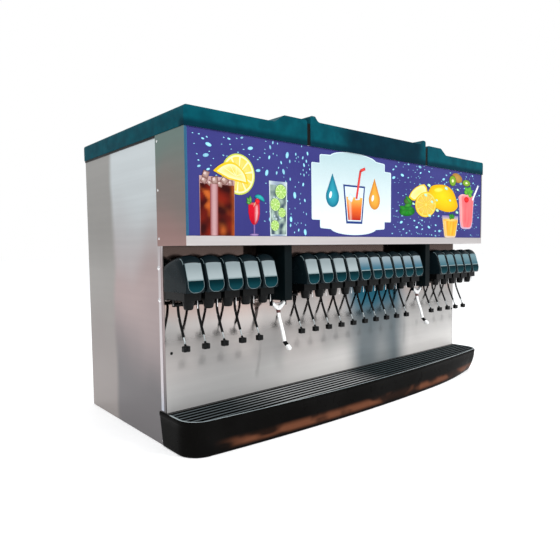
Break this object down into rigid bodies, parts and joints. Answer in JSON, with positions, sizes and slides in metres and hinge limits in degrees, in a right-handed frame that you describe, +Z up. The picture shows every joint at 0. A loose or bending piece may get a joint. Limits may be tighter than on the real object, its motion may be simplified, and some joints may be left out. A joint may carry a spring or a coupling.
{
  "type": "fountain soda dispenser",
  "caption": "Counter-top soda and ice dispenser: steel cabinet, lit sign, banks of lever valves, ice chutes, lift-off lids and a bowed drip tray.",
  "frame": {"origin": "on the surface it stands on, under the middle of the whole machine's box", "axes": "+Z up, +X to the customer's right along the row of valves, the front faces -Y"},
  "size_m": [1.534, 0.737, 0.981],
  "materials": {
    "brushed_steel": "satin, grained",
    "galvanised": "dull",
    "black_plastic": "semi-gloss, moulded",
    "black_lever": "satin",
    "white_plastic": "satin",
    "liner": "matt, moulded",
    "aluminium": "cast",
    "sign": "printed, glossy",
    "motor_grey": "satin"
  },
  "bodies": {
    "root": {"cabinet_shell": "brushed_steel", "splash_panel": "brushed_steel", "marquee_housing": "brushed_steel", "marquee_panel": "sign", "drip_tray": "black_plastic", "ice_hopper": "liner", "cold_plate": "aluminium", "gearmotor": "motor_grey", "ice_chute_left": "black_plastic", "ice_chute_right": "black_plastic", "valve_manifold_left": "black_plastic", "valve_manifold_middle": "black_plastic", "valve_manifold_right": "black_plastic", "valve_cover_01": "black_plastic", "valve_cover_02": "black_plastic", "valve_cover_03": "black_plastic", "valve_cover_04": "black_plastic", "valve_cover_05": "black_plastic", "valve_cover_06": "black_plastic", "valve_cover_07": "black_plastic", "valve_cover_08": "black_plastic", "valve_cover_09": "black_plastic", "valve_cover_10": "black_plastic", "valve_cover_11": "black_plastic", "valve_cover_12": "black_plastic", "valve_cover_13": "black_plastic", "valve_cover_14": "black_plastic", "valve_cover_15": "black_plastic", "valve_cover_16": "black_plastic", "valve_cover_17": "black_plastic", "valve_cover_18": "black_plastic", "valve_cover_19": "black_plastic", "valve_cover_20": "black_plastic"},
    "valve_lever_01": {"valve_lever_01": "black_lever"},
    "valve_lever_02": {"valve_lever_02": "black_lever"},
    "valve_lever_03": {"valve_lever_03": "black_lever"},
    "valve_lever_04": {"valve_lever_04": "black_lever"},
    "valve_lever_05": {"valve_lever_05": "black_lever"},
    "valve_lever_06": {"valve_lever_06": "black_lever"},
    "valve_lever_07": {"valve_lever_07": "black_lever"},
    "valve_lever_08": {"valve_lever_08": "black_lever"},
    "valve_lever_09": {"valve_lever_09": "black_lever"},
    "valve_lever_10": {"valve_lever_10": "black_lever"},
    "valve_lever_11": {"valve_lever_11": "black_lever"},
    "valve_lever_12": {"valve_lever_12": "black_lever"},
    "valve_lever_13": {"valve_lever_13": "black_lever"},
    "valve_lever_14": {"valve_lever_14": "black_lever"},
    "valve_lever_15": {"valve_lever_15": "black_lever"},
    "valve_lever_16": {"valve_lever_16": "black_lever"},
    "valve_lever_17": {"valve_lever_17": "black_lever"},
    "valve_lever_18": {"valve_lever_18": "black_lever"},
    "valve_lever_19": {"valve_lever_19": "black_lever"},
    "valve_lever_20": {"valve_lever_20": "black_lever"},
    "ice_lever_left": {"ice_lever_left": "white_plastic"},
    "ice_lever_right": {"ice_lever_right": "white_plastic"},
    "lid_left": {"lid_left": "black_plastic"},
    "lid_middle": {"lid_middle": "black_plastic"},
    "lid_right": {"lid_right": "black_plastic"},
    "cup_rest": {"cup_rest": "black_plastic"},
    "agitator": {"agitator": "galvanised"}
  },
  "joints": [
    {"name": "valve_lever_01_swing", "type": "hinge", "parent": "root", "child": "valve_lever_01", "pos_m": [-0.7325, -0.2215, 0.414], "axis": [1, 0, 0], "range_deg": [0, 12], "stiffness_Nm_per_rad": 0.3, "springref_deg": -22.92},
    {"name": "valve_lever_02_swing", "type": "hinge", "parent": "root", "child": "valve_lever_02", "pos_m": [-0.6675, -0.2215, 0.414], "axis": [1, 0, 0], "range_deg": [0, 12], "stiffness_Nm_per_rad": 0.3, "springref_deg": -22.92},
    {"name": "valve_lever_03_swing", "type": "hinge", "parent": "root", "child": "valve_lever_03", "pos_m": [-0.6025, -0.2215, 0.414], "axis": [1, 0, 0], "range_deg": [0, 12], "stiffness_Nm_per_rad": 0.3, "springref_deg": -22.92},
    {"name": "valve_lever_04_swing", "type": "hinge", "parent": "root", "child": "valve_lever_04", "pos_m": [-0.5375, -0.2215, 0.414], "axis": [1, 0, 0], "range_deg": [0, 12], "stiffness_Nm_per_rad": 0.3, "springref_deg": -22.92},
    {"name": "valve_lever_05_swing", "type": "hinge", "parent": "root", "child": "valve_lever_05", "pos_m": [-0.4725, -0.2215, 0.414], "axis": [1, 0, 0], "range_deg": [0, 12], "stiffness_Nm_per_rad": 0.3, "springref_deg": -22.92},
    {"name": "valve_lever_06_swing", "type": "hinge", "parent": "root", "child": "valve_lever_06", "pos_m": [-0.2925, -0.2215, 0.414], "axis": [1, 0, 0], "range_deg": [0, 12], "stiffness_Nm_per_rad": 0.3, "springref_deg": -22.92},
    {"name": "valve_lever_07_swing", "type": "hinge", "parent": "root", "child": "valve_lever_07", "pos_m": [-0.2275, -0.2215, 0.414], "axis": [1, 0, 0], "range_deg": [0, 12], "stiffness_Nm_per_rad": 0.3, "springref_deg": -22.92},
    {"name": "valve_lever_08_swing", "type": "hinge", "parent": "root", "child": "valve_lever_08", "pos_m": [-0.1625, -0.2215, 0.414], "axis": [1, 0, 0], "range_deg": [0, 12], "stiffness_Nm_per_rad": 0.3, "springref_deg": -22.92},
    {"name": "valve_lever_09_swing", "type": "hinge", "parent": "root", "child": "valve_lever_09", "pos_m": [-0.0975, -0.2215, 0.414], "axis": [1, 0, 0], "range_deg": [0, 12], "stiffness_Nm_per_rad": 0.3, "springref_deg": -22.92},
    {"name": "valve_lever_10_swing", "type": "hinge", "parent": "root", "child": "valve_lever_10", "pos_m": [-0.0325, -0.2215, 0.414], "axis": [1, 0, 0], "range_deg": [0, 12], "stiffness_Nm_per_rad": 0.3, "springref_deg": -22.92},
    {"name": "valve_lever_11_swing", "type": "hinge", "parent": "root", "child": "valve_lever_11", "pos_m": [0.0325, -0.2215, 0.414], "axis": [1, 0, 0], "range_deg": [0, 12], "stiffness_Nm_per_rad": 0.3, "springref_deg": -22.92},
    {"name": "valve_lever_12_swing", "type": "hinge", "parent": "root", "child": "valve_lever_12", "pos_m": [0.0975, -0.2215, 0.414], "axis": [1, 0, 0], "range_deg": [0, 12], "stiffness_Nm_per_rad": 0.3, "springref_deg": -22.92},
    {"name": "valve_lever_13_swing", "type": "hinge", "parent": "root", "child": "valve_lever_13", "pos_m": [0.1625, -0.2215, 0.414], "axis": [1, 0, 0], "range_deg": [0, 12], "stiffness_Nm_per_rad": 0.3, "springref_deg": -22.92},
    {"name": "valve_lever_14_swing", "type": "hinge", "parent": "root", "child": "valve_lever_14", "pos_m": [0.2275, -0.2215, 0.414], "axis": [1, 0, 0], "range_deg": [0, 12], "stiffness_Nm_per_rad": 0.3, "springref_deg": -22.92},
    {"name": "valve_lever_15_swing", "type": "hinge", "parent": "root", "child": "valve_lever_15", "pos_m": [0.2925, -0.2215, 0.414], "axis": [1, 0, 0], "range_deg": [0, 12], "stiffness_Nm_per_rad": 0.3, "springref_deg": -22.92},
    {"name": "valve_lever_16_swing", "type": "hinge", "parent": "root", "child": "valve_lever_16", "pos_m": [0.4725, -0.2215, 0.414], "axis": [1, 0, 0], "range_deg": [0, 12], "stiffness_Nm_per_rad": 0.3, "springref_deg": -22.92},
    {"name": "valve_lever_17_swing", "type": "hinge", "parent": "root", "child": "valve_lever_17", "pos_m": [0.5375, -0.2215, 0.414], "axis": [1, 0, 0], "range_deg": [0, 12], "stiffness_Nm_per_rad": 0.3, "springref_deg": -22.92},
    {"name": "valve_lever_18_swing", "type": "hinge", "parent": "root", "child": "valve_lever_18", "pos_m": [0.6025, -0.2215, 0.414], "axis": [1, 0, 0], "range_deg": [0, 12], "stiffness_Nm_per_rad": 0.3, "springref_deg": -22.92},
    {"name": "valve_lever_19_swing", "type": "hinge", "parent": "root", "child": "valve_lever_19", "pos_m": [0.6675, -0.2215, 0.414], "axis": [1, 0, 0], "range_deg": [0, 12], "stiffness_Nm_per_rad": 0.3, "springref_deg": -22.92},
    {"name": "valve_lever_20_swing", "type": "hinge", "parent": "root", "child": "valve_lever_20", "pos_m": [0.7325, -0.2215, 0.414], "axis": [1, 0, 0], "range_deg": [0, 12], "stiffness_Nm_per_rad": 0.3, "springref_deg": -22.92},
    {"name": "ice_lever_left_swing", "type": "hinge", "parent": "root", "child": "ice_lever_left", "pos_m": [-0.3835, -0.2475, 0.392], "axis": [1, 0, 0], "range_deg": [0, 14], "stiffness_Nm_per_rad": 0.4, "springref_deg": -22.92},
    {"name": "ice_lever_right_swing", "type": "hinge", "parent": "root", "child": "ice_lever_right", "pos_m": [0.3835, -0.2475, 0.392], "axis": [1, 0, 0], "range_deg": [0, 14], "stiffness_Nm_per_rad": 0.4, "springref_deg": -22.92},
    {"name": "lid_left_lift", "type": "slide", "parent": "root", "child": "lid_left", "axis": [0, 0, 1], "range_m": [0, 0.15]},
    {"name": "lid_middle_lift", "type": "slide", "parent": "root", "child": "lid_middle", "axis": [0, 0, 1], "range_m": [0, 0.15]},
    {"name": "lid_right_lift", "type": "slide", "parent": "root", "child": "lid_right", "axis": [0, 0, 1], "range_m": [0, 0.15]},
    {"name": "cup_rest_lift", "type": "slide", "parent": "root", "child": "cup_rest", "axis": [0, 0, 1], "range_m": [0, 0.06]},
    {"name": "agitator_spin", "type": "hinge", "parent": "root", "child": "agitator", "pos_m": [0, 0.0885, 0.6], "axis": [1, 0, 0], "continuous": true}
  ]
}
